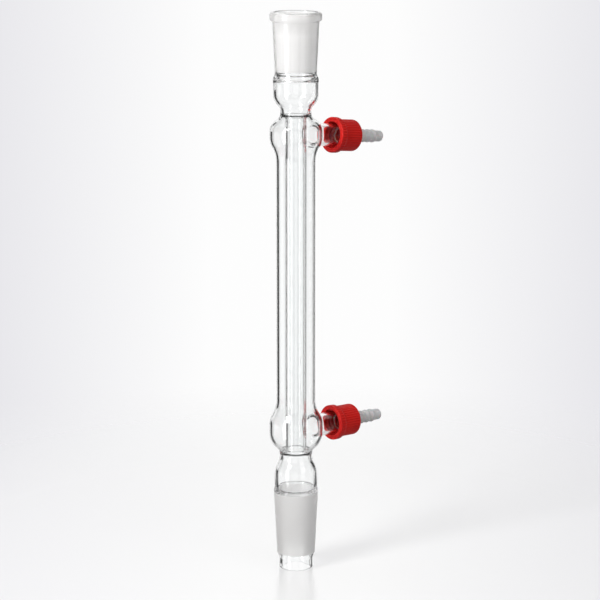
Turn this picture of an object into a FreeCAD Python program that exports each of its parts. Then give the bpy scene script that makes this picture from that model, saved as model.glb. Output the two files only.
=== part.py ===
import FreeCAD, Part
import math
import os

# Straight laboratory condenser in millimetres, upright along +Z, its side arms towards +X.
# The origin is on the axis of the lower ground cone, in the plane where the cone measures gauge_diameter.

# Lower ground cone and drip tip
gauge_diameter = 24.0
joint_taper = 0.1
cone_small_diameter = 21.5
cone_length = 36.8
cone_chamfer = 3.0
cone_shoulder = 2.2
cone_bore_bottom = 16.4
cone_bore_top = 19.6
tip_diameter = 19.2
tip_length = 5.9
tip_wall = 1.6

# Lower chamber, between the cone and the lower ring seal
lower_chamber_diameter = 24.1
lower_chamber_straight = 7.0
lower_chamber_narrowing = 11.3
lower_neck_diameter = 18.2
lower_neck_length = 0.6
neck_wall = 1.7

# Water jacket with a bulb at each end
jacket_diameter = 22.0
jacket_wall = 1.4
jacket_straight = 135.6
lower_bulb_diameter = 30.2
lower_bulb_bottom = 12.7
lower_bulb_straight = 5.0
lower_bulb_top = 13.9
upper_bulb_diameter = 29.2
upper_bulb_bottom = 13.5
upper_bulb_straight = 3.5
upper_bulb_top = 9.9

# Inner vapour tube and the ring seals that join it to the jacket
tube_diameter = 12.0
tube_wall = 1.2
seal_rounding = 1.2
# The tube's ends flare out to the necks: how high they rise for each millimetre they spread,
# and the share of that height which stays solid between a neck and the water space
flare_slope = 1.1
flare_share = 0.77

# Upper chamber and ground socket
upper_neck_diameter = 17.0
upper_neck_length = 0.6
upper_chamber_widening = 10.4
upper_chamber_straight = 7.2
upper_chamber_diameter = 25.2
upper_chamber_shoulder = 4.0
chamber_wall = 1.5
socket_bore = 24.0
socket_length = 33.1
socket_wall = 1.2
throat_diameter = 18.4
throat_rise = 2.2
throat_fall = 3.3
bead_diameter = 28.8
bead_height = 5.1
lip_rounding = 0.6

# Blown transitions are two tangent arcs: the share of their summed radii that the hollow arc takes
neck_share = 0.35
jacket_share = 0.6
even_share = 0.5

# Side arms: each leans down from level by its own small angle, as blown
lower_arm_rise = 1.9
upper_arm_rise = 2.0
upper_arm_lean = 6.0
lower_arm_lean = 1.5
arm_diameter = 12.8
arm_bore = 9.5
arm_reach = 36.2
arm_fillet = 1.8

# Silicone sealing ring
seal_diameter = 12.3
seal_thickness = 1.6
seat_clearance = 0.1

# Hose connector
flange_diameter = 12.4
flange_thickness = 1.8
spigot_diameter = 6.2
spigot_length = 3.4
water_bore = 4.0
hub_diameter = 8.4
hub_stand_out = 1.2
stem_diameter = 6.6
stem_length = 3.6
barb_count = 3
barb_pitch = 3.65
barb_diameter = 7.5
barb_crest = 0.9
valley_diameter = 6.3
nozzle_tip_diameter = 6.3
nozzle_tip_length = 4.7

# Screw cap
cap_length = 16.0
cap_diameter = 17.8
cap_end_wall = 1.7
cap_bore = 14.6
cap_hole_clearance = 0.3
cap_edge_rounding = 1.2
collar_diameter = 20.0
collar_width = 3.4
collar_step = 2.0
mouth_bevel = 0.5
plain_edge = 0.9
rib_groove_count = 40
rib_groove_width = 0.75
rib_groove_depth = 0.4


class Outline:
    """A closed half section in the plane of radius and height, turned about the Z axis."""

    def __init__(self, radius, height):
        self.first = FreeCAD.Vector(radius, 0, height)
        self.last = self.first
        self.edges = []

    def line_to(self, radius, height):
        end = FreeCAD.Vector(radius, 0, height)
        self.edges.append(Part.LineSegment(self.last, end).toShape())
        self.last = end

    def arc_to(self, middle, end):
        self.edges.append(Part.Arc(self.last, middle, end).toShape())
        self.last = end

    def swell_to(self, radius, height, share, wall=0.0):
        """A blown transition of two tangent arcs that leaves and arrives upright.

        The hollow arc takes its share of both radii, and a wall more for a curve one wall further in.
        """
        out = radius - self.last.x
        up = height - self.last.z
        turn = 2 * math.atan2(abs(out), abs(up))
        both = abs(up) / math.sin(turn)
        hollow = share * both + wall
        first = hollow if out > 0 else both - hollow
        side = math.copysign(1, out)
        rise = math.copysign(1, up)

        def on_arc(start, arc_radius, angle, towards):
            return FreeCAD.Vector(
                start.x + towards * side * arc_radius * (1 - math.cos(angle)),
                0,
                start.z + towards * rise * arc_radius * math.sin(angle),
            )

        end = FreeCAD.Vector(radius, 0, height)
        joint = on_arc(self.last, first, turn, 1)
        self.arc_to(on_arc(self.last, first, turn / 2, 1), joint)
        self.arc_to(on_arc(end, both - first, turn / 2, -1), end)

    def quarter_to(self, radius, height, upright_first):
        """A quarter circle that leaves upright and arrives level, or the other way round."""
        end = FreeCAD.Vector(radius, 0, height)
        centre = FreeCAD.Vector(radius, 0, self.last.z) if upright_first else FreeCAD.Vector(self.last.x, 0, height)
        middle = centre + (self.last - centre + end - centre) * math.sqrt(0.5)
        self.arc_to(middle, end)

    def turned(self):
        self.line_to(self.first.x, self.first.z)
        face = Part.Face(Part.Wire(self.edges))
        return face.revolve(FreeCAD.Vector(0, 0, 0), FreeCAD.Vector(0, 0, 1), 360)


# Heights above the end of the drip tip, worked out upwards
tip_top = tip_length
cone_bottom = tip_top + cone_chamfer
cone_top = cone_bottom + cone_length
lower_chamber_bottom = cone_top + cone_shoulder
lower_chamber_top = lower_chamber_bottom + lower_chamber_straight
lower_neck_bottom = lower_chamber_top + lower_chamber_narrowing
lower_neck_top = lower_neck_bottom + lower_neck_length
lower_bulb_low = lower_neck_top + lower_bulb_bottom
lower_bulb_high = lower_bulb_low + lower_bulb_straight
jacket_bottom = lower_bulb_high + lower_bulb_top
jacket_top = jacket_bottom + jacket_straight
upper_bulb_low = jacket_top + upper_bulb_bottom
upper_bulb_high = upper_bulb_low + upper_bulb_straight
upper_neck_bottom = upper_bulb_high + upper_bulb_top
upper_neck_top = upper_neck_bottom + upper_neck_length
upper_chamber_bottom = upper_neck_top + upper_chamber_widening
upper_chamber_top = upper_chamber_bottom + upper_chamber_straight
socket_bottom = upper_chamber_top + upper_chamber_shoulder
socket_top = socket_bottom + socket_length
bead_bottom = socket_top - bead_height
gauge_height = cone_bottom + (gauge_diameter - cone_small_diameter) / joint_taper

# Ring seals: where the tube starts to flare out to each neck and where the water space is closed
tube_bore_radius = tube_diameter / 2 - tube_wall
lower_neck_inside = lower_neck_diameter / 2 - neck_wall
upper_neck_inside = upper_neck_diameter / 2 - neck_wall
lower_flare = flare_slope * (lower_neck_inside - tube_bore_radius)
upper_flare = flare_slope * (upper_neck_inside - tube_bore_radius)
water_floor = lower_neck_top + flare_share * lower_flare
water_roof = upper_neck_bottom - flare_share * upper_flare

# Distances from the axis along a side arm
lower_arm_height = lower_bulb_low + lower_arm_rise
upper_arm_height = upper_bulb_low + upper_arm_rise
seal_start = arm_reach + seat_clearance
flange_start = seal_start + seal_thickness
flange_end = flange_start + flange_thickness
cap_end_inside = flange_end + seat_clearance
cap_end = cap_end_inside + cap_end_wall
cap_mouth = cap_end - cap_length
hub_end = cap_end + hub_stand_out
barbs_start = hub_end + stem_length
barbs_end = barbs_start + barb_count * barb_pitch
nozzle_end = barbs_end + nozzle_tip_length


def socket_bore_radius(height):
    return (socket_bore - joint_taper * (socket_top - height)) / 2


def outer_form():
    """The outside of the whole envelope, solid within, without its side arms."""
    cone_large = cone_small_diameter + joint_taper * cone_length
    bead_rise = bead_diameter / 2 - socket_bore_radius(bead_bottom) - socket_wall
    line = Outline(0, 0)
    line.line_to(tip_diameter / 2 - tip_wall / 2, 0)
    line.quarter_to(tip_diameter / 2, tip_wall / 2, False)
    line.line_to(tip_diameter / 2, tip_top)
    line.line_to(cone_small_diameter / 2, cone_bottom)
    line.line_to(cone_large / 2, cone_top)
    line.swell_to(lower_chamber_diameter / 2, lower_chamber_bottom, even_share)
    line.line_to(lower_chamber_diameter / 2, lower_chamber_top)
    line.swell_to(lower_neck_diameter / 2, lower_neck_bottom, neck_share)
    line.line_to(lower_neck_diameter / 2, lower_neck_top)
    line.swell_to(lower_bulb_diameter / 2, lower_bulb_low, neck_share)
    line.line_to(lower_bulb_diameter / 2, lower_bulb_high)
    line.swell_to(jacket_diameter / 2, jacket_bottom, jacket_share)
    line.line_to(jacket_diameter / 2, jacket_top)
    line.swell_to(upper_bulb_diameter / 2, upper_bulb_low, jacket_share)
    line.line_to(upper_bulb_diameter / 2, upper_bulb_high)
    line.swell_to(upper_neck_diameter / 2, upper_neck_bottom, neck_share)
    line.line_to(upper_neck_diameter / 2, upper_neck_top)
    line.swell_to(upper_chamber_diameter / 2, upper_chamber_bottom, neck_share)
    line.line_to(upper_chamber_diameter / 2, upper_chamber_top)
    line.swell_to(socket_bore_radius(socket_bottom) + socket_wall, socket_bottom, even_share)
    line.line_to(socket_bore_radius(bead_bottom) + socket_wall, bead_bottom)
    line.quarter_to(bead_diameter / 2, bead_bottom + bead_rise, False)
    line.line_to(bead_diameter / 2, socket_top - bead_rise)
    line.quarter_to(bead_diameter / 2 - bead_rise, socket_top, True)
    line.line_to(0, socket_top)
    return line.turned()


def vapour_passage():
    """The hollow that vapour and condensate pass through, from the socket's mouth to the drip tip."""
    upper_inside = upper_chamber_diameter / 2 - chamber_wall
    lower_inside = lower_chamber_diameter / 2 - chamber_wall
    throat_middle = socket_bottom - throat_rise
    line = Outline(0, 0)
    line.line_to(tip_diameter / 2 - tip_wall, 0)
    line.line_to(tip_diameter / 2 - tip_wall, tip_top)
    line.line_to(cone_bore_bottom / 2, cone_bottom)
    line.line_to(cone_bore_top / 2, cone_top)
    line.swell_to(lower_inside, lower_chamber_bottom, even_share)
    line.line_to(lower_inside, lower_chamber_top)
    line.swell_to(lower_neck_inside, lower_neck_bottom, neck_share, chamber_wall)
    line.line_to(lower_neck_inside, lower_neck_top)
    line.swell_to(tube_bore_radius, lower_neck_top + lower_flare, even_share)
    line.line_to(tube_bore_radius, upper_neck_bottom - upper_flare)
    line.swell_to(upper_neck_inside, upper_neck_bottom, even_share)
    line.line_to(upper_neck_inside, upper_neck_top)
    line.swell_to(upper_inside, upper_chamber_bottom, neck_share, chamber_wall)
    line.line_to(upper_inside, throat_middle - throat_fall)
    line.swell_to(throat_diameter / 2, throat_middle, even_share)
    line.swell_to(socket_bore_radius(socket_bottom), socket_bottom, even_share)
    line.line_to(socket_bore_radius(socket_top - lip_rounding), socket_top - lip_rounding)
    line.quarter_to(socket_bore_radius(socket_top - lip_rounding) + lip_rounding, socket_top, True)
    line.line_to(0, socket_top)
    return line.turned()


def jacket_inside():
    """The inside of the jacket and its bulbs, one wall further in than the outside."""
    line = Outline(0, lower_neck_top)
    line.line_to(lower_neck_diameter / 2 - jacket_wall, lower_neck_top)
    line.swell_to(lower_bulb_diameter / 2 - jacket_wall, lower_bulb_low, neck_share, jacket_wall)
    line.line_to(lower_bulb_diameter / 2 - jacket_wall, lower_bulb_high)
    line.swell_to(jacket_diameter / 2 - jacket_wall, jacket_bottom, jacket_share, jacket_wall)
    line.line_to(jacket_diameter / 2 - jacket_wall, jacket_top)
    line.swell_to(upper_bulb_diameter / 2 - jacket_wall, upper_bulb_low, jacket_share, jacket_wall)
    line.line_to(upper_bulb_diameter / 2 - jacket_wall, upper_bulb_high)
    line.swell_to(upper_neck_diameter / 2 - jacket_wall, upper_neck_bottom, neck_share, jacket_wall)
    line.line_to(0, upper_neck_bottom)
    return line.turned()


def tube_form():
    """The vapour tube's outside with a ring seal at each end, wide enough to close the jacket."""
    tube = tube_diameter / 2
    line = Outline(0, lower_neck_bottom)
    line.line_to(lower_bulb_diameter / 2, lower_neck_bottom)
    line.line_to(lower_bulb_diameter / 2, water_floor)
    line.line_to(tube + seal_rounding, water_floor)
    line.quarter_to(tube, water_floor + seal_rounding, False)
    line.line_to(tube, water_roof - seal_rounding)
    line.quarter_to(tube + seal_rounding, water_roof, True)
    line.line_to(upper_bulb_diameter / 2, water_roof)
    line.line_to(upper_bulb_diameter / 2, upper_neck_top)
    line.line_to(0, upper_neck_top)
    return line.turned()


def arm_placement(height, lean):
    """Puts a piece that was turned about Z onto a side arm: its Z runs outwards along the arm."""
    turn = FreeCAD.Rotation(FreeCAD.Vector(0, 1, 0), 90 + lean)
    return FreeCAD.Placement(FreeCAD.Vector(0, 0, height), turn)


def arm_form():
    """A solid side arm from the condenser's axis to its fire-polished rim."""
    rim = (arm_diameter - arm_bore) / 4
    line = Outline(0, 0)
    line.line_to(arm_diameter / 2, 0)
    line.line_to(arm_diameter / 2, arm_reach - rim)
    line.quarter_to(arm_diameter / 2 - rim, arm_reach, True)
    line.line_to(0, arm_reach)
    return line.turned()


def arm_hollow():
    """The bore of a side arm, from the water space out through its rim."""
    start = tube_diameter / 2 + (jacket_diameter - tube_diameter) / 4
    line = Outline(0, start)
    line.line_to(arm_bore / 2, start)
    line.line_to(arm_bore / 2, arm_reach)
    line.line_to(0, arm_reach)
    return line.turned()


def seal():
    """Flat silicone ring round the connector's spigot."""
    line = Outline(spigot_diameter / 2, seal_start)
    line.line_to(seal_diameter / 2, seal_start)
    line.line_to(seal_diameter / 2, flange_start)
    line.line_to(spigot_diameter / 2, flange_start)
    return line.turned()


def hose_connector():
    """Hollow connector: spigot, flange, hub through the cap and a nozzle of blunt barbs."""
    tip_rounding = (nozzle_tip_diameter - water_bore) / 2
    shoulder = (hub_diameter - stem_diameter) / 2
    slope = (barb_pitch - barb_crest) / 2
    line = Outline(water_bore / 2, flange_start - spigot_length)
    line.line_to(spigot_diameter / 2, flange_start - spigot_length)
    line.line_to(spigot_diameter / 2, flange_start)
    line.line_to(flange_diameter / 2, flange_start)
    line.line_to(flange_diameter / 2, flange_end)
    line.line_to(hub_diameter / 2, flange_end)
    line.line_to(hub_diameter / 2, hub_end)
    line.line_to(stem_diameter / 2, hub_end + shoulder)
    line.line_to(stem_diameter / 2, barbs_start)
    for barb in range(barb_count):
        start = barbs_start + barb * barb_pitch
        line.line_to(barb_diameter / 2, start + slope)
        line.line_to(barb_diameter / 2, start + slope + barb_crest)
        line.line_to(valley_diameter / 2, start + barb_pitch)
    line.line_to(nozzle_tip_diameter / 2, nozzle_end - tip_rounding)
    line.quarter_to(water_bore / 2, nozzle_end, True)
    return line.turned()


def rib_grooves(outside, bottom):
    """Tools for the flat-sided grooves that leave ribs standing on a round face, from bottom outwards."""
    corners = [
        FreeCAD.Vector(outside - rib_groove_depth, 0, bottom),
        FreeCAD.Vector(outside + rib_groove_depth, rib_groove_width, bottom),
        FreeCAD.Vector(outside + rib_groove_depth, -rib_groove_width, bottom),
    ]
    triangle = Part.Face(Part.makePolygon(corners + corners[:1]))
    groove = triangle.extrude(FreeCAD.Vector(0, 0, cap_length))
    tools = []
    for step in range(rib_groove_count):
        tool = groove.copy()
        tool.rotate(FreeCAD.Vector(0, 0, 0), FreeCAD.Vector(0, 0, 1), 360 * step / rib_groove_count)
        tools.append(tool)
    return Part.makeCompound(tools)


def screw_cap():
    """Ribbed cap with a collar round its mouth and a hole for the connector's hub in its end."""
    hole = hub_diameter / 2 + cap_hole_clearance
    body = cap_diameter / 2
    collar = collar_diameter / 2
    step_left = max(0, (collar - body - rib_groove_depth) / (collar - body))
    line = Outline(cap_bore / 2, cap_end_inside)
    line.line_to(cap_bore / 2, cap_mouth + mouth_bevel)
    line.line_to(cap_bore / 2 + mouth_bevel, cap_mouth)
    line.line_to(collar - mouth_bevel, cap_mouth)
    line.line_to(collar, cap_mouth + mouth_bevel)
    line.line_to(collar, cap_mouth + collar_width)
    line.line_to(body, cap_mouth + collar_width + collar_step)
    line.line_to(body, cap_end - cap_edge_rounding)
    line.quarter_to(body - cap_edge_rounding, cap_end, True)
    line.line_to(hole, cap_end)
    line.line_to(hole, cap_end_inside)
    cap = line.turned().cut(rib_grooves(collar, cap_mouth + plain_edge))
    return cap.cut(rib_grooves(body, cap_mouth + collar_width + step_left * collar_step))


def junction_edges(shape, place):
    """The edges where a side arm's round wall meets the bulb."""
    inverse = place.inverse()
    found = []
    for edge in shape.Edges:
        points = [inverse.multVec(point) for point in edge.discretize(9)]
        on_arm = all(abs(math.hypot(p.x, p.y) - arm_diameter / 2) < 0.01 for p in points)
        inside = all(0 < p.z < arm_reach / 2 for p in points)
        if on_arm and inside:
            found.append(edge)
    return found


def condenser_glass():
    """The one-piece glass envelope."""
    places = [
        arm_placement(lower_arm_height, lower_arm_lean),
        arm_placement(upper_arm_height, upper_arm_lean),
    ]
    glass = outer_form()
    for place in places:
        arm = arm_form()
        arm.Placement = place
        glass = glass.fuse(arm)
        glass = glass.makeFillet(arm_fillet, junction_edges(glass, place))
    glass = glass.cut(vapour_passage()).cut(jacket_inside().cut(tube_form()))
    for place in places:
        hollow = arm_hollow()
        hollow.Placement = place
        glass = glass.cut(hollow)
    return glass


def write_node(name, shape):
    """Moves a finished piece into the part's own frame and writes it."""
    shape.translate(FreeCAD.Vector(0, 0, -gauge_height))
    solids = shape.Solids
    print(name, "solids", len(solids), "valid", shape.isValid(), "volume", round(shape.Volume, 1))
    (solids[0] if len(solids) == 1 else shape).exportStep("parts/" + name + ".step")


os.makedirs("parts", exist_ok=True)
write_node("condenser_glass", condenser_glass())
for side, height, lean in (
    ("upper", upper_arm_height, upper_arm_lean),
    ("lower", lower_arm_height, lower_arm_lean),
):
    for piece, make in (("screw_cap", screw_cap), ("hose_connector", hose_connector), ("seal", seal)):
        shape = make()
        shape.Placement = arm_placement(height, lean)
        write_node(side + "_" + piece, shape)
print("gauge plane above the drip tip", round(gauge_height, 3), "total height", round(socket_top, 3))
print("water floor", round(water_floor, 3), "water roof", round(water_roof, 3))
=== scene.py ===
import math

import bmesh
import bpy
import numpy as np
from mathutils import Matrix, Vector

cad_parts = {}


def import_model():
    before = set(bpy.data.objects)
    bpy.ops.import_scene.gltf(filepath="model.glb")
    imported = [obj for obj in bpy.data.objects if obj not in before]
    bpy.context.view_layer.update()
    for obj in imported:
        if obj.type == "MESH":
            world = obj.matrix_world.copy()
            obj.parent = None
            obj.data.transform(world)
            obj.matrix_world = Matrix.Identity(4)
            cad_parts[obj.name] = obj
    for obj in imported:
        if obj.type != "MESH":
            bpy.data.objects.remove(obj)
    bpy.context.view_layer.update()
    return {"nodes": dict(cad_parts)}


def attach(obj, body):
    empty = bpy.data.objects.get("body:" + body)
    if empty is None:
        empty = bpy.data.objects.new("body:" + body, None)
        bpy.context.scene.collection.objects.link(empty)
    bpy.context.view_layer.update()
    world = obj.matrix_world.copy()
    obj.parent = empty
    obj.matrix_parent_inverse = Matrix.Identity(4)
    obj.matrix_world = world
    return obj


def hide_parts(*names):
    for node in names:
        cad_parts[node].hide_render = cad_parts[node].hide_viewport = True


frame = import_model()
print("frame loaded")

# Lengths below are millimetres; heights are counted from the end of the drip tip.
gaugeHeight = 33.9  # the part's own origin is this far above the tip

camera = {"away": 1165.0, "aside": 2.30, "height": 374.1, "turn": 39.0, "pitch": 12.2, "lens": 127.98}


def placeCamera(name):
    data = bpy.data.cameras.new(name)
    data.lens = camera["lens"]
    data.sensor_width = 36.0
    data.clip_start, data.clip_end = 0.01, 50.0
    eye = bpy.data.objects.new(name, data)
    bpy.context.scene.collection.objects.link(eye)
    turn, pitch = math.radians(camera["turn"]), math.radians(camera["pitch"])
    ahead = Vector((math.sin(turn), math.cos(turn), 0))
    right = Vector((math.cos(turn), -math.sin(turn), 0))
    place = -camera["away"] * ahead + camera["aside"] * right
    eye.location = (place.x / 1000, place.y / 1000, camera["height"] / 1000)
    look = ahead * math.cos(pitch) - Vector((0, 0, math.sin(pitch)))
    eye.rotation_mode = "QUATERNION"
    eye.rotation_quaternion = look.to_track_quat("-Z", "Y")
    bpy.context.scene.camera = eye


placeCamera("photoCamera")


# Outlines are rows of (radius, height), worked out as whole arrays.

def swellArcs(waist, crown, hollowShare, wall):
    out, up = crown[0] - waist[0], abs(crown[1] - waist[1])
    turn = 2 * math.atan2(out, up)
    both = up / math.sin(turn)
    hollow = hollowShare * both + wall
    return turn, hollow, both - hollow


def swellCurve(waist, crown, hollowShare, wall=0.0, steps=7):
    # A blown transition of two tangent arcs, upright at both ends. turn is twice the angle whose tangent is
    # rise of radius over height; both radii together are the height over the sine of turn.
    turn, hollow, dome = swellArcs(waist, crown, hollowShare, wall)
    side = math.copysign(1, crown[1] - waist[1])
    a = np.linspace(0, turn, steps)
    lower = np.stack([waist[0] + hollow * (1 - np.cos(a)), waist[1] + side * hollow * np.sin(a)], 1)
    b = a[::-1][1:]
    upper = np.stack([crown[0] - dome * (1 - np.cos(b)), crown[1] - side * dome * np.sin(b)], 1)
    return np.concatenate([lower, upper])


def swellRadius(height, waist, crown, hollowShare, wall=0.0):
    # The same two arcs read as a radius for each height.
    turn, hollow, dome = swellArcs(waist, crown, hollowShare, wall)
    up = abs(crown[1] - waist[1])
    t = np.clip(np.abs(height - waist[1]), 0, up)
    inHollow = waist[0] + hollow - np.sqrt(np.maximum(hollow ** 2 - t ** 2, 0))
    inDome = crown[0] - dome + np.sqrt(np.maximum(dome ** 2 - (up - t) ** 2, 0))
    return np.where(t <= hollow * math.sin(turn), inHollow, inDome)


def roundedPath(keys, steps=5):
    # Straight runs through the keys (radius, height, rounding); at each inner key an arc that touches both.
    keys = np.asarray(keys, float)
    rows = [keys[:1, :2]]
    for before, here, after in zip(keys[:-2], keys[1:-1], keys[2:]):
        p, rounding = here[:2], here[2]
        d1 = (before[:2] - p) / np.linalg.norm(before[:2] - p)
        d2 = (after[:2] - p) / np.linalg.norm(after[:2] - p)
        half = 0.5 * math.acos(float(np.clip(d1 @ d2, -1, 1)))
        if rounding <= 0 or half > 1.56:
            rows.append(p[None])
            continue
        centre = p + (d1 + d2) / np.linalg.norm(d1 + d2) * rounding / math.sin(half)
        v1 = p + d1 * rounding / math.tan(half) - centre
        v2 = p + d2 * rounding / math.tan(half) - centre
        sweep = math.pi - 2 * half
        t = np.linspace(0, 1, steps)[:, None]
        rows.append(centre + (np.sin((1 - t) * sweep) * v1 + np.sin(t * sweep) * v2) / math.sin(sweep))
    rows.append(keys[-1:, :2])
    return np.concatenate(rows)


def joined(*rows):
    path = np.concatenate(rows)
    gap = np.linalg.norm(np.diff(path, axis=0), axis=1)
    return path[np.concatenate([[True], gap > 1e-4])]


def spread(path, most):
    # Cuts long runs of an outline into steps of at most the given length.
    rows = [path[:1]]
    for a, b in zip(path[:-1], path[1:]):
        n = max(1, int(math.ceil(np.linalg.norm(b - a) / most)))
        rows.append(a + (b - a) * (np.arange(1, n + 1) / n)[:, None])
    return np.concatenate(rows)


def turnedPoints(path, count):
    # Each outline point (r, h) carried round the axis: (r cos a, r sin a, h) for count even angles a.
    a = np.arange(count) * 2 * math.pi / count
    r, h = path[:, 0][:, None], path[:, 1][:, None]
    return np.stack([r * np.cos(a), r * np.sin(a), h + 0 * a], 2)


def gridFaces(rows, columns, loopRows, loopColumns, start=0, hole=None):
    # Quads of a grid of points; hole (rowFrom, rowTo, columnFrom, columnTo) leaves its cells open.
    i = np.arange(rows if loopRows else rows - 1)
    j = np.arange(columns if loopColumns else columns - 1)
    i, j = np.meshgrid(i, j, indexing="ij")
    keep = np.ones(i.shape, bool)
    for rowFrom, rowTo, columnFrom, columnTo in hole or []:
        inRows = (i >= rowFrom) & (i < rowTo)
        shifted = (j - columnFrom) % columns
        keep &= ~(inRows & (shifted < columnTo - columnFrom))
    i, j = i[keep], j[keep]
    i2, j2 = (i + 1) % rows, (j + 1) % columns
    return start + np.stack([i * columns + j, i2 * columns + j, i2 * columns + j2, i * columns + j2], 1)


def meshPiece(name, points, faces, material, body, node=None):
    mesh = bpy.data.meshes.new(name)
    mesh.from_pydata(points.tolist(), [], faces.tolist())
    form = bmesh.new()
    form.from_mesh(mesh)
    bmesh.ops.remove_doubles(form, verts=form.verts, dist=2e-6)
    bmesh.ops.recalc_face_normals(form, faces=form.faces)
    openEdges = sum(1 for e in form.edges if len(e.link_faces) != 2)
    form.to_mesh(mesh)
    form.free()
    mesh.polygons.foreach_set("use_smooth", np.ones(len(mesh.polygons), bool))
    mesh.materials.append(material)
    piece = bpy.data.objects.new(name, mesh)
    bpy.context.scene.collection.objects.link(piece)
    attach(piece, body)
    if node:
        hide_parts(node)
    print(name, "faces", len(mesh.polygons), "open edges", openEdges)
    return piece


def newMaterial(name):
    material = bpy.data.materials.new(name)
    material.use_nodes = True
    tree = material.node_tree
    tree.nodes.clear()
    return material, tree


def addNode(tree, kind, **values):
    made = tree.nodes.new(kind)
    for key, value in values.items():
        if key.startswith("set_"):
            setattr(made, key[4:], value)
            continue
        socket = made.inputs[key.replace("_", " ")] if not key.startswith("in") else made.inputs[int(key[2:])]
        if isinstance(value, bpy.types.NodeSocket):
            tree.links.new(value, socket)
        else:
            socket.default_value = value
    return made


def math2(tree, operation, a, b=0.0, c=0.0):
    return addNode(tree, "ShaderNodeMath", set_operation=operation, in0=a, in1=b, in2=c).outputs[0]


def ramp(tree, value, low, high, fromLow=0.0, fromHigh=1.0):
    made = addNode(
        tree, "ShaderNodeMapRange", Value=value, From_Min=fromLow, From_Max=fromHigh, To_Min=low, To_Max=high,
    )
    made.clamp = True
    return made.outputs["Result"]


def noise(tree, place, scale, detail=3.0, roughness=0.5):
    made = addNode(tree, "ShaderNodeTexNoise", Vector=place, Scale=scale, Detail=detail, Roughness=roughness)
    return made.outputs["Fac"]


def mixedColour(tree, share, first, second):
    made = addNode(tree, "ShaderNodeMix", set_data_type="RGBA", in0=share)
    made.inputs[6].default_value = first
    made.inputs[7].default_value = second
    return made.outputs[2]


def fineBump(tree, place, strength, scale, detail):
    height = noise(tree, place, scale, detail)
    return addNode(tree, "ShaderNodeBump", Strength=strength, Distance=0.00003, Height=height).outputs[0]


def finish(tree, shader):
    addNode(tree, "ShaderNodeOutputMaterial", Surface=shader)


# milky is the share of the light that a ground surface scatters back. The two ground bands are given from the
# part's own origin, and the haze is for the rolled bead of the socket.
glass = {
    "tint": (0.985, 0.99, 0.99, 1), "ior": 1.474,
    "groundRoughness": 0.45, "roughnessSpread": 0.05,
    "socketGround": (249.8, 281.4), "coneGround": (-25.0, 11.6),
    "bandEdge": 0.4, "raggedness": 0.0003,
    "milky": 0.5, "milkyTint": (0.88, 0.87, 0.86, 1), "beadHaze": 0.35,
    "clearShadow": (0.78, 0.78, 0.79, 1), "groundShadow": (0.45, 0.45, 0.47, 1),
}


def band(tree, height, limits):
    # 1 between two heights, in millimetres, with a short soft edge at both ends.
    low, high = limits
    edge = glass["bandEdge"]
    above = ramp(tree, height, 0, 1, low / 1000, (low + edge) / 1000)
    below = ramp(tree, height, 1, 0, (high - edge) / 1000, high / 1000)
    return math2(tree, "MULTIPLY", above, below)


def glassMaterial():
    material, tree = newMaterial("clearBorosilicate")
    place = addNode(tree, "ShaderNodeTexCoord").outputs["Object"]
    height = addNode(tree, "ShaderNodeSeparateXYZ", Vector=place).outputs["Z"]
    ground = addNode(tree, "ShaderNodeAttribute", set_attribute_name="ground").outputs["Fac"]
    fine = noise(tree, place, 2600.0, 2.0)
    broad = noise(tree, place, 60.0, 2.0)
    # ground surfaces end in a slightly ragged line
    wander = glass["raggedness"]
    ragged = math2(tree, "ADD", height, ramp(tree, noise(tree, place, 700.0), -wander, wander))
    inSocket, inCone = band(tree, ragged, glass["socketGround"]), band(tree, ragged, glass["coneGround"])
    bands = math2(tree, "ADD", inSocket, inCone)
    matt = math2(tree, "MULTIPLY", ground, bands)
    mean, either = glass["groundRoughness"], glass["roughnessSpread"]
    roughness = math2(tree, "MULTIPLY", matt, ramp(tree, broad, mean - either, mean + either, 0.35, 0.65))
    grainHeight = math2(tree, "MULTIPLY", fine, matt)
    grain = addNode(tree, "ShaderNodeBump", Strength=0.35, Distance=0.00002, Height=grainHeight).outputs[0]
    through = ramp(tree, matt, 1.0, 1.0 - glass["milky"])
    surface = addNode(
        tree, "ShaderNodeBsdfPrincipled", IOR=glass["ior"], Transmission_Weight=through, Roughness=roughness,
        Normal=grain, Base_Color=mixedColour(tree, matt, glass["tint"], glass["milkyTint"]),
    )
    # shadow rays go straight through, so that the glass casts a pale shadow
    shade = mixedColour(tree, matt, glass["clearShadow"], glass["groundShadow"])
    clear = addNode(tree, "ShaderNodeBsdfTransparent", Color=shade)
    shadow = addNode(tree, "ShaderNodeLightPath").outputs["Is Shadow Ray"]
    mixed = addNode(tree, "ShaderNodeMixShader", in0=shadow, in1=surface.outputs[0], in2=clear.outputs[0])
    finish(tree, mixed.outputs[0])
    return material


redPlastic = {"colour": (0.74, 0.02, 0.015, 1), "deep": (0.6, 0.012, 0.011, 1), "roughness": 0.34}


def redMaterial():
    material, tree = newMaterial("redMouldedPlastic")
    place = addNode(tree, "ShaderNodeTexCoord").outputs["Object"]
    cloud = ramp(tree, noise(tree, place, 90.0, 3.0), 0, 1, 0.3, 0.7)
    colour = mixedColour(tree, cloud, redPlastic["colour"], redPlastic["deep"])
    mean = redPlastic["roughness"]
    roughness = ramp(tree, noise(tree, place, 400.0, 4.0), mean - 0.06, mean + 0.08)
    surface = addNode(
        tree, "ShaderNodeBsdfPrincipled", Base_Color=colour, Roughness=roughness,
        Normal=fineBump(tree, place, 0.25, 3000.0, 4.0), IOR=1.46, Specular_IOR_Level=0.16,
    )
    finish(tree, surface.outputs[0])
    return material


palePlastic = {"colour": (0.88, 0.88, 0.88), "roughness": 0.32, "transmission": 0.3}


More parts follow.
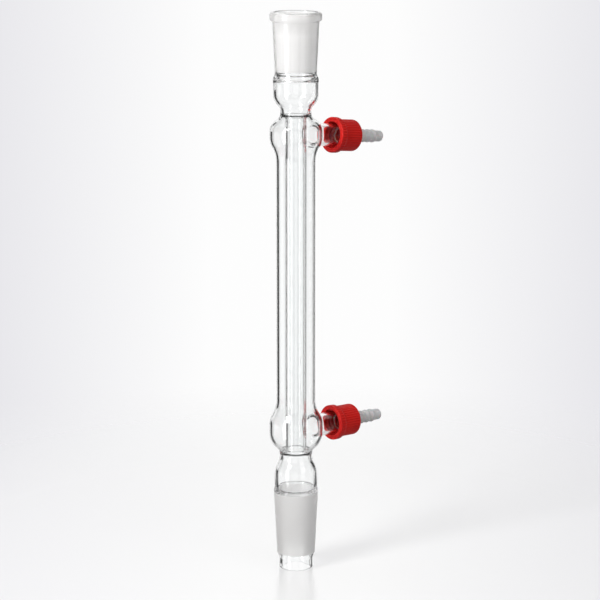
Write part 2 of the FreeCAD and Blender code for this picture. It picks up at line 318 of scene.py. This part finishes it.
def paleMaterial():
    material, tree = newMaterial("paleNaturalPlastic")
    place = addNode(tree, "ShaderNodeTexCoord").outputs["Object"]
    cloud = ramp(tree, noise(tree, place, 220.0, 3.0), 0.9, 1.04, 0.3, 0.7)
    tone = palePlastic["colour"]
    colour = addNode(tree, "ShaderNodeVectorMath", set_operation="SCALE", in0=tone, Scale=cloud).outputs[0]
    mean = palePlastic["roughness"]
    roughness = ramp(tree, noise(tree, place, 500.0, 3.0), mean - 0.05, mean + 0.07)
    surface = addNode(
        tree, "ShaderNodeBsdfPrincipled", Base_Color=colour, Roughness=roughness,
        Normal=fineBump(tree, place, 0.2, 2400.0, 3.0), IOR=1.5,
        Transmission_Weight=palePlastic["transmission"],
        Subsurface_Weight=0.15, Subsurface_Scale=0.002,
    )
    finish(tree, surface.outputs[0])
    return material


silicone = {"dark": (0.72, 0.68, 0.62, 1), "light": (0.8, 0.77, 0.72, 1), "roughness": 0.5}


def siliconeMaterial():
    material, tree = newMaterial("softSilicone")
    place = addNode(tree, "ShaderNodeTexCoord").outputs["Object"]
    colour = mixedColour(tree, noise(tree, place, 300.0, 3.0), silicone["dark"], silicone["light"])
    surface = addNode(
        tree, "ShaderNodeBsdfPrincipled", Base_Color=colour, Roughness=silicone["roughness"],
        Normal=fineBump(tree, place, 0.2, 2000.0, 3.0), IOR=1.42,
        Subsurface_Weight=0.3, Subsurface_Scale=0.001,
    )
    finish(tree, surface.outputs[0])
    return material


clearGlass = glassMaterial()
redCapPlastic = redMaterial()
paleHosePlastic = paleMaterial()
sealSilicone = siliconeMaterial()
print("materials made")

# The glass envelope is one piece, as it was blown. Chambers, necks, bulbs and jacket are (radius, from, to),
# the two heights between which that radius is held; the tip and the tube are (outer radius, inner radius);
# the cone is (radius, height) at its lower and its upper end; the throat is (radius, distance below the
# socket, fall).
envelope = {
    "tip": (9.6, 8.0), "tipTop": 5.9, "cone": (10.75, 8.9, 12.59, 45.7), "coneBore": (8.2, 9.8),
    "lowerChamber": (12.05, 47.9, 54.9), "lowerNeck": (9.1, 66.2, 66.8), "lowerBulb": (15.1, 79.5, 84.5),
    "jacket": (11.0, 98.4, 234.0), "upperBulb": (14.6, 247.5, 251.0), "upperNeck": (8.5, 260.9, 261.5),
    "upperChamber": (12.6, 271.9, 279.1), "socketBottom": 283.1, "socketTop": 316.2, "socketBore": 24.0,
    "taper": 0.1, "socketWall": 1.2, "bead": (14.4, 311.1), "lip": 0.6, "throat": (9.2, 2.2, 3.3),
    "chamberWall": 1.5, "neckWall": 1.7, "jacketWall": 1.4,
    "tube": (6.0, 4.8), "flareSlope": 1.1, "flareShare": 0.77, "sealRounding": 1.2,
    "neckShare": 0.35, "jacketShare": 0.6, "evenShare": 0.5, "segments": 180,
    "tipRounding": 0.79, "cornerRounding": 0.4, "wallLine": 1.2,
}
# For each arm, outside and inside are the heights between which the wall's grid is opened for it.
arm = {
    "radius": 6.4, "bore": 4.75, "reach": 36.2, "rim": 0.825, "foot": 1.8, "inner": 1.1,
    "pitch": 2.5, "ridge": 0.35, "threadFrom": 30.5, "threadTo": 35.0,
    "halfCells": 19, "rows": 24, "threadRings": 55,
    "upper": {"height": 249.5, "lean": 6.0, "outside": (240.6, 258.2), "inside": (242.6, 255.9)},
    "lower": {"height": 81.4, "lean": 1.5, "outside": (72.3, 90.6), "inside": (74.2, 88.6)},
}


def boreRadius(height):
    return (envelope["socketBore"] - envelope["taper"] * (envelope["socketTop"] - height)) / 2


def flareHeight(neck):
    # How far from a neck the vapour tube starts to flare out to it.
    return envelope["flareSlope"] * (envelope[neck][0] - envelope["neckWall"] - envelope["tube"][1])


def jacketRadius(height, wall=0.0):
    # Radius of the jacket and its bulbs at each height, from neck to neck; wall moves it further in.
    def swell(waist, waistEnd, crown, crownEnd, share):
        low = (envelope[waist][0] - wall, envelope[waist][waistEnd])
        high = (envelope[crown][0] - wall, envelope[crown][crownEnd])
        return swellRadius(height, low, high, envelope[share], wall)

    def straight(name):
        return envelope[name][0] - wall + 0 * height

    lowerBulb, jacket, upperBulb = envelope["lowerBulb"], envelope["jacket"], envelope["upperBulb"]
    limits = [lowerBulb[1], lowerBulb[2], jacket[1], jacket[2], upperBulb[1], upperBulb[2]]
    parts = [
        swell("lowerNeck", 2, "lowerBulb", 1, "neckShare"), straight("lowerBulb"),
        swell("jacket", 1, "lowerBulb", 2, "jacketShare"), straight("jacket"),
        swell("jacket", 2, "upperBulb", 1, "jacketShare"), straight("upperBulb"),
    ]
    last = swell("upperNeck", 1, "upperBulb", 2, "neckShare")
    return np.select([height <= limit for limit in limits], parts, last)


def jacketRun(low, high, side, wall=0.0):
    # Heights from low to high with the same count of rows beside each arm, and where those rows start.
    heights, starts = [], []
    at = low
    for name in ("lower", "upper"):
        rowLow, rowHigh = arm[name][side]
        before = np.arange(at, rowLow, 1.1)
        heights.append(before)
        starts.append(sum(len(h) for h in heights))
        heights.append(np.linspace(rowLow, rowHigh, arm["rows"] + 1))
        at = rowHigh + 0.7
    heights.append(np.arange(at, high, 0.7))
    heights = np.concatenate(heights)
    straight = (heights > envelope["jacket"][1] + 1) & (heights < envelope["jacket"][2] - 1)
    thin = straight & (np.arange(len(heights)) % 12 != 0)
    keep = ~thin
    starts = [int(keep[:s].sum()) for s in starts]
    heights = heights[keep]
    return np.stack([jacketRadius(heights, wall), heights], 1), starts


def tubeFlares():
    # Heights where the vapour tube starts to flare out to its lower and its upper neck.
    lower = envelope["lowerNeck"][2] + flareHeight("lowerNeck")
    upper = envelope["upperNeck"][1] - flareHeight("upperNeck")
    return lower, upper


def outsideBelowJacket():
    # From the foot of the tip up the cone and the lower chamber to the lower neck.
    e = envelope
    tip, bore = e["tip"]
    rounding = e["tipRounding"]
    coneFoot, coneTop = e["cone"][:2], e["cone"][2:]
    chamber, chamberLow, chamberHigh = e["lowerChamber"]
    return joined(
        roundedPath([
            (bore + 0.8, 0, 0), (tip, 0, rounding), (tip, e["tipTop"], 0.9),
            coneFoot + (0.35,), coneTop + (0,),
        ]),
        swellCurve((chamber, chamberLow), coneTop, e["evenShare"], 0, 5)[::-1],
        swellCurve(e["lowerNeck"][:2], (chamber, chamberHigh), e["neckShare"])[::-1],
    )


def socketAndBead():
    # Up the socket's outside, round the rolled bead and its lip, and down the tapered bore.
    e = envelope
    bottom, top = e["socketBottom"], e["socketTop"]
    bead, beadLow = e["bead"]
    under = boreRadius(beadLow) + e["socketWall"]
    rise = bead - under
    return roundedPath([
        (boreRadius(bottom) + e["socketWall"], bottom, 0), (under, beadLow, 0.3),
        (bead, beadLow, rise), (bead, top, rise),
        (boreRadius(top), top, e["lip"]), (boreRadius(bottom), bottom, 0),
    ], 6)


def vapourPassage():
    # Down through the throat, the upper chamber, the tube, the lower chamber and the cone to the tip.
    e = envelope
    wall, neckWall, even = e["chamberWall"], e["neckWall"], e["evenShare"]
    lowerFlare, upperFlare = tubeFlares()
    throat, throatRise, throatFall = e["throat"]
    throatMiddle = e["socketBottom"] - throatRise
    upperChamber, lowerChamber = e["upperChamber"][0] - wall, e["lowerChamber"][0] - wall
    upperNeck, lowerNeck = e["upperNeck"][0] - neckWall, e["lowerNeck"][0] - neckWall
    tube, bore = e["tube"][1], e["tip"][1]
    coneTop, coneFoot = (e["coneBore"][1], e["cone"][3]), (e["coneBore"][0], e["cone"][1])
    share = e["neckShare"]
    upperDome = swellCurve((upperNeck, e["upperNeck"][2]), (upperChamber, e["upperChamber"][1]), share, wall)
    lowerDome = swellCurve((lowerNeck, e["lowerNeck"][1]), (lowerChamber, e["lowerChamber"][2]), share, wall)
    return joined(
        swellCurve((throat, throatMiddle), (boreRadius(e["socketBottom"]), e["socketBottom"]), even)[::-1],
        swellCurve((throat, throatMiddle), (upperChamber, throatMiddle - throatFall), even),
        upperDome[::-1],
        swellCurve((tube, upperFlare), (upperNeck, e["upperNeck"][1]), even)[::-1],
        swellCurve((tube, lowerFlare), (lowerNeck, e["lowerNeck"][2]), even),
        lowerDome,
        swellCurve(coneTop, (lowerChamber, e["lowerChamber"][1]), even, 0, 5)[::-1],
        roundedPath([
            coneTop + (0,), coneFoot + (2.0,), (bore, e["tipTop"], 2.0),
            (bore, 0, e["tipRounding"]), (bore + 0.8, 0, 0),
        ]),
    )


def envelopeOutline():
    # The closed outline of the wall: up the outside, over the lip and down the vapour passage.
    e = envelope
    run, starts = jacketRun(e["lowerNeck"][2], e["upperNeck"][1], "outside")
    upperChamber = e["upperChamber"]
    socketFoot = (boreRadius(e["socketBottom"]) + e["socketWall"], e["socketBottom"])
    top = joined(
        swellCurve((e["upperNeck"][0], e["upperNeck"][2]), upperChamber[:2], e["neckShare"]),
        swellCurve(socketFoot, (upperChamber[0], upperChamber[2]), e["evenShare"])[::-1],
        socketAndBead(),
        vapourPassage(),
    )
    start, top = spread(outsideBelowJacket(), 8.0), spread(top, 9.0)
    closed = top[:-1] if np.allclose(top[-1], start[0], atol=1e-3) else top
    return np.concatenate([start, run[1:], closed]), [len(start) - 1 + s for s in starts]


def waterOutline():
    # The closed outline of the water space: up the jacket's inside and down the vapour tube.
    e = envelope
    floor = e["lowerNeck"][2] + e["flareShare"] * flareHeight("lowerNeck")
    roof = e["upperNeck"][1] - e["flareShare"] * flareHeight("upperNeck")
    tube, rounding, corner, wall = e["tube"][0], e["sealRounding"], e["cornerRounding"], e["jacketWall"]
    run, starts = jacketRun(floor + e["wallLine"], roof - e["wallLine"], "inside", wall)
    floorRadius, roofRadius = (float(jacketRadius(np.array(h), wall)) for h in (floor, roof))
    bottom = roundedPath([
        (tube, floor + 6, 0), (tube, floor, rounding), (floorRadius, floor, corner), tuple(run[0]) + (0,),
    ], 6)
    top = roundedPath([
        tuple(run[-1]) + (0,), (roofRadius, roof, corner), (tube, roof, rounding), (tube, roof - 6, 0),
    ], 6)
    tubeRun = spread(np.array([top[-1], bottom[0]]), 12.0)
    outline = np.concatenate([bottom, run[1:], top[1:], tubeRun[1:-1]])
    return outline, [len(bottom) - 1 + s for s in starts]


def rectangleLoop(grid, rowFrom, columnHalf):
    # The points round an open rectangle of the grid, once round, starting at its lower left corner.
    columns = grid.shape[1]
    last = rowFrom + arm["rows"]
    across = np.arange(-columnHalf, columnHalf) % columns
    up = np.arange(rowFrom, last)
    back, down = -np.arange(-columnHalf, columnHalf) % columns, np.arange(last, rowFrom, -1)
    left, right = -columnHalf % columns, columnHalf % columns
    return np.concatenate([grid[rowFrom, across], grid[up, right], grid[last, back], grid[down, left]])


def armPatch(name, outsideLoop, insideLoop):
    # Rings that lead from the opening in the bulb, over a fillet, along the arm and its screw thread, round
    # the rim, back through the bore and out over the water side. Each ring is a circle about the arm's axis:
    # its points are axis point + radius (cos f, sin f) across the arm. On the bulb the distance along the arm
    # is solved from radius and height, x = sqrt(R(z)^2 - y^2).
    place = arm[name]
    lean = math.radians(place["lean"])
    along = np.array([math.cos(lean), 0, -math.sin(lean)])
    acrossY, acrossZ = np.array([0, 1.0, 0]), np.array([math.sin(lean), 0, math.cos(lean)])
    origin = np.array([0, 0, place["height"]])

    def local(points):
        d = points - origin
        y, z = d @ acrossY, d @ acrossZ
        return np.hypot(y, z), np.unwrap(np.arctan2(z, y)), d @ along

    def world(radius, angle, reach):
        sideways, upwards = (radius * np.cos(angle))[:, None], (radius * np.sin(angle))[:, None]
        return origin + reach[:, None] * along + sideways * acrossY + upwards * acrossZ

    def onWall(radius, angle, wall):
        reach = np.full(angle.shape, 13.0)
        for _ in range(12):
            z = place["height"] - reach * math.sin(lean) + radius * np.sin(angle) * math.cos(lean)
            x = np.sqrt(jacketRadius(z, wall) ** 2 - (radius * np.cos(angle)) ** 2)
            reach = (x - radius * np.sin(angle) * math.sin(lean)) / math.cos(lean)
        return reach

    outRadius, outAngle, _ = local(outsideLoop)
    inRadius, inAngle, _ = local(insideLoop)
    inAngle = inAngle + 2 * math.pi * np.round((outAngle - inAngle).mean() / (2 * math.pi))
    one = np.ones_like(outAngle)
    r, wall = arm["radius"], envelope["jacketWall"]
    rings = [outsideLoop]
    for t in np.linspace(0, 1, 7)[1:]:
        radius = outRadius + (r + arm["foot"] - outRadius) * t
        rings.append(world(radius, outAngle, onWall(radius, outAngle, 0.0)))
    foot = rings[-1]
    corner = world(r * one, outAngle, onWall(r * one, outAngle, 0.0))
    leave = np.maximum(onWall(r * one, outAngle, 0.0), local(foot)[2]) + arm["foot"]
    top = world(r * one, outAngle, leave)
    for t in np.linspace(0, 1, 10)[1:]:
        rings.append((1 - t) ** 2 * foot + 2 * t * (1 - t) * corner + t ** 2 * top)
    rimStart = arm["reach"] - arm["rim"]
    for t in np.linspace(0, 1, arm["threadRings"] + 1)[1:]:
        angle = outAngle + (inAngle - outAngle) * t
        reach = leave + (rimStart - leave) * t
        turns = (reach - arm["threadFrom"]) / arm["pitch"] - angle / (2 * math.pi)
        crest = np.clip(0.5 + 0.5 * np.cos(2 * math.pi * turns), 0, 1) ** 1.6
        runIn, runOut = (reach - arm["threadFrom"]) / 1.6, (arm["threadTo"] - reach) / 1.2
        fade = np.clip(runIn, 0, 1) * np.clip(runOut, 0, 1)
        fade = fade * fade * (3 - 2 * fade)
        rings.append(world(r + arm["ridge"] * crest * fade, angle, reach))
    middle = (r + arm["bore"]) / 2
    for t in np.linspace(0, math.pi, 9)[1:]:
        radius, reach = middle + (r - middle) * math.cos(t), rimStart + arm["rim"] * math.sin(t)
        rings.append(world(radius * one, inAngle, reach * one))
    bore, soft = arm["bore"], arm["inner"]
    inner = onWall(bore * one, inAngle, wall)
    lip = world((bore + soft) * one, inAngle, onWall((bore + soft) * one, inAngle, wall))
    bend = world(bore * one, inAngle, inner)
    enter = np.maximum(inner, local(lip)[2]) + soft
    for t in np.linspace(0, 1, 9)[1:]:
        rings.append(world(bore * one, inAngle, rimStart + (enter - rimStart) * t))
    last = rings[-1]
    for t in np.linspace(0, 1, 8)[1:]:
        rings.append((1 - t) ** 2 * last + 2 * t * (1 - t) * bend + t ** 2 * lip)
    for t in np.linspace(0, 1, 7)[1:-1]:
        radius = bore + soft + (inRadius - bore - soft) * t
        rings.append(world(radius, inAngle, onWall(radius, inAngle, wall)))
    rings.append(insideLoop)
    return np.stack(rings)


def buildEnvelope():
    e = envelope
    n, half = e["segments"], arm["halfCells"]
    outline, outsideRows = envelopeOutline()
    water, insideRows = waterOutline()
    outerGrid, waterGrid = turnedPoints(outline, n), turnedPoints(water, n)
    blocks, faces, start = [], [], 0
    for grid, rows in ((outerGrid, outsideRows), (waterGrid, insideRows)):
        holes = [(row, row + arm["rows"], -half, half) for row in rows]
        faces.append(gridFaces(grid.shape[0], n, True, True, start, holes))
        blocks.append(grid.reshape(-1, 3))
        start += len(blocks[-1])
    for index, name in enumerate(("lower", "upper")):
        outsideLoop = rectangleLoop(outerGrid, outsideRows[index], half)
        rings = armPatch(name, outsideLoop, rectangleLoop(waterGrid, insideRows[index], half))
        faces.append(gridFaces(rings.shape[0], rings.shape[1], False, True, start))
        blocks.append(rings.reshape(-1, 3))
        start += len(blocks[-1])
    points = np.concatenate(blocks)
    points[:, 2] -= gaugeHeight
    faces = np.concatenate(faces)
    piece = meshPiece(
        "glassEnvelope", points / 1000, faces, clearGlass, "envelope", "condenser_glass",
    )
    markGround(piece.data)


def markGround(mesh):
    # Writes 1 on the two ground surfaces, the socket's bore and the cone's outside, and a haze on the bead.
    e = envelope
    near, above = 0.3, 0.5
    co = np.zeros(len(mesh.vertices) * 3, np.float32)
    mesh.vertices.foreach_get("co", co)
    co = co.reshape(-1, 3).astype(float) * 1000
    radius, height = np.hypot(co[:, 0], co[:, 1]), co[:, 2] + gaugeHeight
    onBore = (np.abs(radius - boreRadius(height)) < near) & (height > e["socketBottom"] - above)
    coneRadius = np.interp(height, (e["cone"][1], e["cone"][3]), (e["cone"][0], e["cone"][2]))
    onCone = (np.abs(radius - coneRadius) < near) & (height > e["cone"][1] - 1) & (height < e["cone"][3] + 1)
    onBead = (radius > boreRadius(height) + e["socketWall"] - 0.1) & (height > e["bead"][1] - above)
    matt = np.where(onBore | onCone, 1.0, np.where(onBead, glass["beadHaze"], 0.0))
    mesh.attributes.new("ground", "FLOAT", "POINT").data.foreach_set("value", matt.astype(np.float32))


buildEnvelope()

# Caps, hose connectors and seals on the two arms.
cap = {
    "mouth": 25.5, "end": 41.5, "endInside": 39.8, "radius": 8.9, "bore": 7.3, "hole": 4.5,
    "collar": 10.0, "collarWidth": 3.4, "edge": 1.2,
    "ribs": 40, "ribDepth": 0.38, "perRib": 12, "threadPitch": 2.5, "threadDepth": 0.5,
}
connector = {
    "spigotStart": 34.5, "flangeStart": 37.9, "flangeEnd": 39.7, "hubEnd": 42.7, "barbsStart": 46.3,
    "pitch": 3.65, "barbs": 3, "nozzleEnd": 61.95,
    "bore": 2.0, "spigot": 3.1, "flange": 6.2, "hub": 4.2, "stem": 3.3, "barb": 3.75,
    "valley": 3.15, "tip": 3.15,
}


def ontoArm(points, name):
    # Carries points turned about an upright axis onto the arm: their height runs outwards along it.
    place = arm[name]
    turn = Matrix.Rotation(math.radians(90 + place["lean"]), 3, "Y")
    moved = points.reshape(-1, 3) @ np.array(turn).T
    return (moved + [0, 0, place["height"] - gaugeHeight]) / 1000


def capPoints():
    # A turned outline whose outside dips between the ribs, depth times (0.5 - 0.5 cos(ribs a))^p, and whose
    # bore carries a screw ridge that climbs one pitch each turn.
    c = cap
    count = c["ribs"] * c["perRib"]
    mouth, collarEnd = c["mouth"], c["mouth"] + c["collarWidth"]
    outline = spread(roundedPath([
        (c["bore"], c["endInside"], 0), (c["bore"], mouth, 0.5),
        (c["collar"], mouth, 0.6), (c["collar"], collarEnd, 0.6),
        (c["radius"], collarEnd + 0.9, 1.2), (c["radius"], c["end"], c["edge"]),
        (c["hole"], c["end"], 0.3), (c["hole"], c["endInside"], 0.2), (c["bore"], c["endInside"], 0),
    ], 7), 0.45)[:-1]
    r, h = outline[:, 0][:, None], outline[:, 1][:, None]
    a = np.arange(count) * 2 * math.pi / count
    groove = (0.5 - 0.5 * np.cos(c["ribs"] * a)) ** 2.2
    ribbed = np.clip((h - mouth - 0.6) / 0.5, 0, 1) * np.clip((c["end"] - 0.25 - h) / 0.6, 0, 1)
    outside = r > c["bore"] + 0.8
    inside = (r < c["bore"] + 0.05) & (h < c["endInside"] - 0.2)
    turns = (h - mouth) / c["threadPitch"] - a / (2 * math.pi)
    fade = np.clip((h - mouth - 1.2) / 1.5, 0, 1) * np.clip((c["endInside"] - 2.0 - h) / 1.5, 0, 1)
    ridge = np.clip(0.5 + 0.5 * np.cos(2 * math.pi * turns), 0, 1) ** 1.5 * fade * inside
    radius = r - c["ribDepth"] * groove * ribbed * outside - c["threadDepth"] * ridge
    return np.stack([radius * np.cos(a), radius * np.sin(a), h + 0 * a], 2)


def connectorPoints():
    # A turned outline; the barbs are soft humps, valley + (barb - valley) (0.5 - 0.5 cos)^p along the nozzle.
    c = connector
    barbsEnd = c["barbsStart"] + c["barbs"] * c["pitch"]
    h = np.linspace(c["barbsStart"], barbsEnd, 61)
    wave = 0.5 - 0.5 * np.cos(2 * math.pi * (h - c["barbsStart"]) / c["pitch"])
    humps = np.stack([c["valley"] + (c["barb"] - c["valley"]) * wave ** 0.9, h], 1)
    boreEnd = (c["bore"], c["spigotStart"] + 3, 0)
    root = roundedPath([
        boreEnd, (c["bore"], c["spigotStart"], 0.3), (c["spigot"], c["spigotStart"], 0.3),
        (c["spigot"], c["flangeStart"], 0.1), (c["flange"], c["flangeStart"], 0.25),
        (c["flange"], c["flangeEnd"], 0.25), (c["hub"], c["flangeEnd"], 0.15), (c["hub"], c["hubEnd"], 0.6),
        (c["stem"], c["hubEnd"] + 0.9, 0.5), (c["stem"], c["barbsStart"] - 0.4, 0),
        (c["valley"], c["barbsStart"], 0),
    ], 6)
    nose = roundedPath([
        (c["valley"], barbsEnd, 0), (c["tip"], c["nozzleEnd"], 1.14),
        (c["bore"], c["nozzleEnd"], 0.0), boreEnd,
    ], 9)
    outline = spread(joined(root, humps, nose), 1.0)
    return turnedPoints(outline[:-1], 72)


def turnedPiece(side, name, points, material, body, node):
    faces = gridFaces(*points.shape[:2], True, True)
    meshPiece(side + name, ontoArm(points, side), faces, material, side + body, side + node)


def buildArmPieces(side):
    turnedPiece(side, "CapDetailed", capPoints(), redCapPlastic, "_cap_body", "_screw_cap")
    turnedPiece(
        side, "ConnectorDetailed", connectorPoints(), paleHosePlastic, "_connector_body", "_hose_connector",
    )
    ring = frame["nodes"][side + "_seal"]
    ring.data.materials.clear()
    ring.data.materials.append(sealSilicone)


for armName in ("upper", "lower"):
    buildArmPieces(armName)
print("arm pieces made")

# Floor, background and light. Angles are degrees; the backdrop and the table carry painted shade, their
# colour turned greyer on both sides of the object. A panel is (azimuth, elevation, radius), the strip
# (azimuth, half width, low, high), and quiet is (azimuth, half width).
studio = {
    "floorRadius": 1.2, "fadeFrom": 0.22, "fadeTo": 0.42, "floorColour": (0.72, 0.72, 0.72, 1),
    "floorLift": 0.24, "white": 0.985, "shade": (0.8, 0.795, 0.83, 1), "lookTowards": 51.0,
    "panels": [
        (52.5, -12, 22.5), (52, 8, 21.5), (51, 28, 21), (-8, -12, 17), (135, -22, 24), (180, -4, 20),
        (225, 0, 20), (270, 0, 16), (315, -13, 23),
    ],
    "strip": (90, 10, -5.6, 14), "gap": 0.02, "soften": 3.0,
    "roofFrom": 45.0, "groundFrom": -34.0, "roof": 0.9, "ground": 0.7,
    "quiet": (309, 14), "quietShare": 0.9, "skyAmbient": 0.52, "tableAmbient": 0.24,
    "key": 13.5, "stripLight": 8.5, "fill": 3.0,
}


def product(tree, first, *others):
    for other in others:
        first = math2(tree, "MULTIPLY", first, other)
    return first


def largest(tree, first, *others):
    for other in others:
        first = math2(tree, "MAXIMUM", first, other)
    return first


def dotWith(tree, vector, constant):
    made = addNode(tree, "ShaderNodeVectorMath", set_operation="DOT_PRODUCT", in0=vector, in1=constant)
    return made.outputs["Value"]


def distanceFrom(tree, value, centre):
    return math2(tree, "ABSOLUTE", math2(tree, "SUBTRACT", value, centre))


def floorMaterial():
    material, tree = newMaterial("paleTableTop")
    place = addNode(tree, "ShaderNodeTexCoord").outputs["Object"]
    distance = addNode(tree, "ShaderNodeVectorMath", set_operation="LENGTH", in0=place).outputs["Value"]
    far = ramp(tree, distance, 0, 1, studio["fadeFrom"], studio["fadeTo"])
    rays = addNode(tree, "ShaderNodeLightPath").outputs
    sheen = ramp(tree, noise(tree, place, 40.0, 2.0), 0.16, 0.22)
    # painted shade: the table's colour turns greyer on both sides of the object, across the camera's view
    turn = math.radians(studio["lookTowards"] - 90)
    sideways = dotWith(tree, place, (math.cos(turn), math.sin(turn), 0))
    paintedSideShade = ramp(tree, math2(tree, "ABSOLUTE", sideways), 0, 1, 0.04, 0.2)
    paintedShadeColour = [a * b for a, b in zip(studio["floorColour"], studio["shade"])]
    colour = mixedColour(tree, paintedSideShade, studio["floorColour"], paintedShadeColour)
    surface = addNode(tree, "ShaderNodeBsdfPrincipled", Base_Color=colour, Roughness=sheen, IOR=1.7)
    lift = product(tree, rays["Is Camera Ray"], studio["floorLift"])
    white = addNode(tree, "ShaderNodeEmission", Color=(1, 1, 1, 1), Strength=lift)
    lifted = addNode(tree, "ShaderNodeAddShader", in0=surface.outputs[0], in1=white.outputs[0])
    clear = addNode(tree, "ShaderNodeBsdfTransparent")
    through = largest(tree, far, rays["Is Transmission Ray"], rays["Is Diffuse Ray"])
    mixed = addNode(tree, "ShaderNodeMixShader", in0=through, in1=lifted.outputs[0], in2=clear.outputs[0])
    finish(tree, mixed.outputs[0])
    return material


def buildFloor():
    n = 96
    rings = np.array([0.001, 0.2, 0.45, 0.8, studio["floorRadius"]])
    points = turnedPoints(np.stack([rings, 0 * rings], 1), n)
    mesh = bpy.data.meshes.new("tableTop")
    faces = gridFaces(len(rings), n, False, True).tolist() + [list(range(n))]
    mesh.from_pydata(points.reshape(-1, 3).tolist(), [], faces)
    mesh.materials.append(floorMaterial())
    floor = bpy.data.objects.new("tableTop", mesh)
    floor.location = (0, 0, -gaugeHeight / 1000 - 0.00005)
    bpy.context.scene.collection.objects.link(floor)


def lightTent(tree, direction, azimuth, elevation):
    # Round white panels, a strip at the side, a roof and a ground, with dark gaps between them.
    tent = None
    for turn, rise, radius in studio["panels"]:
        a, e = math.radians(turn), math.radians(rise)
        near = dotWith(tree, direction, (math.cos(a) * math.cos(e), math.sin(a) * math.cos(e), math.sin(e)))
        half = studio["soften"] / 2
        out, inside = math.cos(math.radians(radius + half)), math.cos(math.radians(radius - half))
        lit = ramp(tree, near, 0, 1, out, inside)
        tent = lit if tent is None else largest(tree, tent, lit)
    centre, halfWidth, low, high = studio["strip"]
    strip = product(
        tree, ramp(tree, distanceFrom(tree, azimuth, centre), 1, 0, halfWidth - 1, halfWidth + 1),
        ramp(tree, elevation, 0, 1, low - 0.5, low + 0.5), ramp(tree, elevation, 1, 0, high - 1, high + 1),
    )
    roof = ramp(tree, elevation, 0, studio["roof"], studio["roofFrom"] - 2, studio["roofFrom"] + 2)
    ground = ramp(tree, elevation, studio["ground"], 0, studio["groundFrom"] - 2, studio["groundFrom"] + 2)
    return ramp(tree, largest(tree, tent, strip, roof, ground), studio["gap"], 1.0)


def buildWorld():
    # White to the camera, with painted shade greying it on both sides of the object; glass and gloss see the
    # light tent, and diffuse surfaces an even light.
    world = bpy.data.worlds.new("studioWorld")
    bpy.context.scene.world = world
    world.use_nodes = True
    tree = world.node_tree
    tree.nodes.clear()
    rays = addNode(tree, "ShaderNodeLightPath").outputs
    direction = addNode(tree, "ShaderNodeTexCoord").outputs["Generated"]
    parts = addNode(tree, "ShaderNodeSeparateXYZ", Vector=direction).outputs
    azimuth = product(tree, math2(tree, "ARCTAN2", parts["Y"], parts["X"]), 180 / math.pi)
    elevation = product(tree, math2(tree, "ARCSINE", parts["Z"]), 180 / math.pi)
    tent = lightTent(tree, direction, azimuth, elevation)
    # reflections on the arms and caps see nothing of the panel behind the camera's right
    centre, halfWidth = studio["quiet"]
    around = math2(tree, "WRAP", math2(tree, "SUBTRACT", azimuth, centre), 180.0, -180.0)
    inQuiet = ramp(tree, math2(tree, "ABSOLUTE", around), 1, 0, halfWidth - 3, halfWidth + 3)
    afterGloss = math2(tree, "GREATER_THAN", rays["Glossy Depth"], 0.5)
    reflected = product(tree, inQuiet, afterGloss, studio["quietShare"])
    tent = product(tree, tent, math2(tree, "SUBTRACT", 1.0, reflected))
    ambient = ramp(tree, elevation, studio["tableAmbient"], studio["skyAmbient"], -25, 35)
    toDiffuse = product(tree, rays["Is Diffuse Ray"], ambient)
    toGlass = product(tree, largest(tree, rays["Is Glossy Ray"], rays["Is Transmission Ray"]), tent)
    toCamera = product(tree, rays["Is Camera Ray"], studio["white"])
    level = math2(tree, "ADD", math2(tree, "ADD", toDiffuse, toGlass), toCamera)
    # painted shade: to the camera the backdrop turns greyer in bands on both sides of the object
    aside = distanceFrom(tree, azimuth, studio["lookTowards"])
    inner, outer = ramp(tree, aside, 0, 1, 2.5, 9.0), ramp(tree, aside, 1, 0, 14.0, 22.0)
    paintedFlankShade = product(tree, inner, outer, rays["Is Camera Ray"])
    colour = mixedColour(tree, paintedFlankShade, (1, 1, 1, 1), studio["shade"])
    background = addNode(tree, "ShaderNodeBackground", Color=colour, Strength=level)
    addNode(tree, "ShaderNodeOutputWorld", Surface=background.outputs[0])


def softLight(name, place, target, width, height, watts):
    data = bpy.data.lights.new(name, "AREA")
    data.shape = "RECTANGLE"
    data.size, data.size_y = width, height
    data.energy = watts
    lamp = bpy.data.objects.new(name, data)
    lamp.visible_camera = False
    lamp.location = place
    lamp.rotation_mode = "QUATERNION"
    lamp.rotation_quaternion = (Vector(target) - Vector(place)).to_track_quat("-Z", "Y")
    bpy.context.scene.collection.objects.link(lamp)


buildFloor()
buildWorld()
# name, place, target, width, height, watts
softLight("keyLight", (-1.34, -0.1, 1.15), (0, 0, 0.12), 0.6, 0.6, studio["key"])
softLight("stripLight", (-1.3, 0.0, 0.25), (0, 0, 0.25), 0.36, 1.5, studio["stripLight"])
softLight("fillLight", (0.2, -1.5, 0.7), (0, 0, 0.12), 0.8, 0.8, studio["fill"])
bpy.context.scene.view_settings.view_transform = "Standard"
print("studio made")
